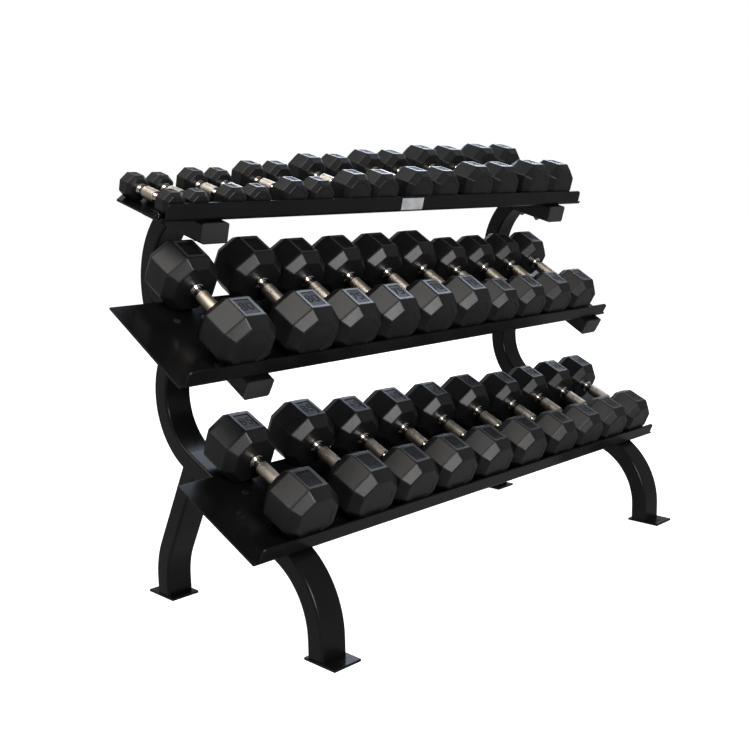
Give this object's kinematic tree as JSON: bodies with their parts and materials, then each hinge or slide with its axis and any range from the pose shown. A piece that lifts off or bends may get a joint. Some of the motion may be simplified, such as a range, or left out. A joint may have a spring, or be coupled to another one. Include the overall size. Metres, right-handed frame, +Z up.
{
  "type": "dumbbell rack",
  "caption": "Three-tier sloped dumbbell rack of curved rectangular steel tube with lipped sheet trays, loaded with octagonal dumbbells that lift off.",
  "frame": {"origin": "on the floor, below the middle of the bounding box", "axes": "+X along the trays to the right of someone facing the rack, +Y from the open front to the back, +Z up"},
  "size_m": [1.725, 0.7338, 1.1937],
  "materials": {
    "black_coat": "gloss black powder coat",
    "black_bolt": "black oxide",
    "zinc_nut": "zinc plated",
    "black_plastic": "satin",
    "badge": "satin white",
    "rubber_head": "satin rubber coat"
  },
  "bodies": {
    "rack": {"left_main_tube": "black_coat", "left_rear_leg": "black_coat", "left_top_arm": "black_coat", "left_top_arm_cap": "black_plastic", "left_middle_arm": "black_coat", "left_middle_arm_cap": "black_plastic", "left_front_foot_plate": "black_coat", "left_rear_foot_plate": "black_coat", "right_main_tube": "black_coat", "right_rear_leg": "black_coat", "right_top_arm": "black_coat", "right_top_arm_cap": "black_plastic", "right_middle_arm": "black_coat", "right_middle_arm_cap": "black_plastic", "right_front_foot_plate": "black_coat", "right_rear_foot_plate": "black_coat", "top_tray": "black_coat", "top_tray_bolts": "black_bolt", "middle_tray": "black_coat", "middle_tray_bolts": "black_bolt", "bottom_tray": "black_coat", "bottom_tray_bolts": "black_bolt", "tray_nuts": "zinc_nut", "middle_tray_plugs": "black_plastic", "lip_badge": "badge"},
    "dumbbell_05_a": {"dumbbell_05_a": "rubber_head"},
    "dumbbell_05_b": {"dumbbell_05_b": "rubber_head"},
    "dumbbell_10_a": {"dumbbell_10_a": "rubber_head"},
    "dumbbell_10_b": {"dumbbell_10_b": "rubber_head"},
    "dumbbell_15_a": {"dumbbell_15_a": "rubber_head"},
    "dumbbell_15_b": {"dumbbell_15_b": "rubber_head"},
    "dumbbell_20_a": {"dumbbell_20_a": "rubber_head"},
    "dumbbell_20_b": {"dumbbell_20_b": "rubber_head"},
    "dumbbell_25_a": {"dumbbell_25_a": "rubber_head"},
    "dumbbell_25_b": {"dumbbell_25_b": "rubber_head"},
    "dumbbell_30_a": {"dumbbell_30_a": "rubber_head"},
    "dumbbell_30_b": {"dumbbell_30_b": "rubber_head"},
    "dumbbell_35_a": {"dumbbell_35_a": "rubber_head"},
    "dumbbell_35_b": {"dumbbell_35_b": "rubber_head"},
    "dumbbell_80_a": {"dumbbell_80_a": "rubber_head"},
    "dumbbell_80_b": {"dumbbell_80_b": "rubber_head"},
    "dumbbell_75_a": {"dumbbell_75_a": "rubber_head"},
    "dumbbell_75_b": {"dumbbell_75_b": "rubber_head"},
    "dumbbell_70_a": {"dumbbell_70_a": "rubber_head"},
    "dumbbell_70_b": {"dumbbell_70_b": "rubber_head"},
    "dumbbell_45_a": {"dumbbell_45_a": "rubber_head"},
    "dumbbell_45_b": {"dumbbell_45_b": "rubber_head"},
    "dumbbell_40_a": {"dumbbell_40_a": "rubber_head"},
    "dumbbell_40_b": {"dumbbell_40_b": "rubber_head"},
    "dumbbell_85_a": {"dumbbell_85_a": "rubber_head"},
    "dumbbell_85_b": {"dumbbell_85_b": "rubber_head"},
    "dumbbell_65_a": {"dumbbell_65_a": "rubber_head"},
    "dumbbell_65_b": {"dumbbell_65_b": "rubber_head"},
    "dumbbell_60_a": {"dumbbell_60_a": "rubber_head"},
    "dumbbell_60_b": {"dumbbell_60_b": "rubber_head"},
    "dumbbell_55_a": {"dumbbell_55_a": "rubber_head"},
    "dumbbell_55_b": {"dumbbell_55_b": "rubber_head"},
    "dumbbell_50_a": {"dumbbell_50_a": "rubber_head"},
    "dumbbell_50_b": {"dumbbell_50_b": "rubber_head"}
  },
  "joints": [
    {"name": "lift_dumbbell_05_a", "type": "slide", "parent": "rack", "child": "dumbbell_05_a", "axis": [0, -0.274, 0.9617], "range_m": [0, 0.13]},
    {"name": "lift_dumbbell_05_b", "type": "slide", "parent": "rack", "child": "dumbbell_05_b", "axis": [0, -0.274, 0.9617], "range_m": [0, 0.13]},
    {"name": "lift_dumbbell_10_a", "type": "slide", "parent": "rack", "child": "dumbbell_10_a", "axis": [0, -0.274, 0.9617], "range_m": [0, 0.13]},
    {"name": "lift_dumbbell_10_b", "type": "slide", "parent": "rack", "child": "dumbbell_10_b", "axis": [0, -0.274, 0.9617], "range_m": [0, 0.13]},
    {"name": "lift_dumbbell_15_a", "type": "slide", "parent": "rack", "child": "dumbbell_15_a", "axis": [0, -0.274, 0.9617], "range_m": [0, 0.13]},
    {"name": "lift_dumbbell_15_b", "type": "slide", "parent": "rack", "child": "dumbbell_15_b", "axis": [0, -0.274, 0.9617], "range_m": [0, 0.13]},
    {"name": "lift_dumbbell_20_a", "type": "slide", "parent": "rack", "child": "dumbbell_20_a", "axis": [0, -0.274, 0.9617], "range_m": [0, 0.13]},
    {"name": "lift_dumbbell_20_b", "type": "slide", "parent": "rack", "child": "dumbbell_20_b", "axis": [0, -0.274, 0.9617], "range_m": [0, 0.13]},
    {"name": "lift_dumbbell_25_a", "type": "slide", "parent": "rack", "child": "dumbbell_25_a", "axis": [0, -0.274, 0.9617], "range_m": [0, 0.13]},
    {"name": "lift_dumbbell_25_b", "type": "slide", "parent": "rack", "child": "dumbbell_25_b", "axis": [0, -0.274, 0.9617], "range_m": [0, 0.13]},
    {"name": "lift_dumbbell_30_a", "type": "slide", "parent": "rack", "child": "dumbbell_30_a", "axis": [0, -0.274, 0.9617], "range_m": [0, 0.13]},
    {"name": "lift_dumbbell_30_b", "type": "slide", "parent": "rack", "child": "dumbbell_30_b", "axis": [0, -0.274, 0.9617], "range_m": [0, 0.13]},
    {"name": "lift_dumbbell_35_a", "type": "slide", "parent": "rack", "child": "dumbbell_35_a", "axis": [0, -0.274, 0.9617], "range_m": [0, 0.13]},
    {"name": "lift_dumbbell_35_b", "type": "slide", "parent": "rack", "child": "dumbbell_35_b", "axis": [0, -0.274, 0.9617], "range_m": [0, 0.13]},
    {"name": "slide_dumbbell_80_a", "type": "slide", "parent": "rack", "child": "dumbbell_80_a", "axis": [-1, 0, 0], "range_m": [0, 0.26]},
    {"name": "lift_dumbbell_80_b", "type": "slide", "parent": "rack", "child": "dumbbell_80_b", "axis": [0, -0.5135, 0.8581], "range_m": [0, 0.052]},
    {"name": "lift_dumbbell_75_a", "type": "slide", "parent": "rack", "child": "dumbbell_75_a", "axis": [0, -0.5135, 0.8581], "range_m": [0, 0.052]},
    {"name": "lift_dumbbell_75_b", "type": "slide", "parent": "rack", "child": "dumbbell_75_b", "axis": [0, -0.5135, 0.8581], "range_m": [0, 0.052]},
    {"name": "lift_dumbbell_70_a", "type": "slide", "parent": "rack", "child": "dumbbell_70_a", "axis": [0, -0.5135, 0.8581], "range_m": [0, 0.052]},
    {"name": "lift_dumbbell_70_b", "type": "slide", "parent": "rack", "child": "dumbbell_70_b", "axis": [0, -0.5135, 0.8581], "range_m": [0, 0.052]},
    {"name": "lift_dumbbell_45_a", "type": "slide", "parent": "rack", "child": "dumbbell_45_a", "axis": [0, -0.5135, 0.8581], "range_m": [0, 0.052]},
    {"name": "lift_dumbbell_45_b", "type": "slide", "parent": "rack", "child": "dumbbell_45_b", "axis": [0, -0.5135, 0.8581], "range_m": [0, 0.052]},
    {"name": "lift_dumbbell_40_a", "type": "slide", "parent": "rack", "child": "dumbbell_40_a", "axis": [0, -0.5135, 0.8581], "range_m": [0, 0.052]},
    {"name": "lift_dumbbell_40_b", "type": "slide", "parent": "rack", "child": "dumbbell_40_b", "axis": [0, -0.5135, 0.8581], "range_m": [0, 0.052]},
    {"name": "lift_dumbbell_85_a", "type": "slide", "parent": "rack", "child": "dumbbell_85_a", "axis": [0, -0.421, 0.907], "range_m": [0, 0.07]},
    {"name": "lift_dumbbell_85_b", "type": "slide", "parent": "rack", "child": "dumbbell_85_b", "axis": [0, -0.421, 0.907], "range_m": [0, 0.07]},
    {"name": "lift_dumbbell_65_a", "type": "slide", "parent": "rack", "child": "dumbbell_65_a", "axis": [0, -0.421, 0.907], "range_m": [0, 0.07]},
    {"name": "lift_dumbbell_65_b", "type": "slide", "parent": "rack", "child": "dumbbell_65_b", "axis": [0, -0.421, 0.907], "range_m": [0, 0.07]},
    {"name": "lift_dumbbell_60_a", "type": "slide", "parent": "rack", "child": "dumbbell_60_a", "axis": [0, -0.421, 0.907], "range_m": [0, 0.07]},
    {"name": "lift_dumbbell_60_b", "type": "slide", "parent": "rack", "child": "dumbbell_60_b", "axis": [0, -0.421, 0.907], "range_m": [0, 0.07]},
    {"name": "lift_dumbbell_55_a", "type": "slide", "parent": "rack", "child": "dumbbell_55_a", "axis": [0, -0.421, 0.907], "range_m": [0, 0.07]},
    {"name": "lift_dumbbell_55_b", "type": "slide", "parent": "rack", "child": "dumbbell_55_b", "axis": [0, -0.421, 0.907], "range_m": [0, 0.07]},
    {"name": "lift_dumbbell_50_a", "type": "slide", "parent": "rack", "child": "dumbbell_50_a", "axis": [0, -0.421, 0.907], "range_m": [0, 0.07]},
    {"name": "lift_dumbbell_50_b", "type": "slide", "parent": "rack", "child": "dumbbell_50_b", "axis": [0, -0.421, 0.907], "range_m": [0, 0.07]}
  ]
}
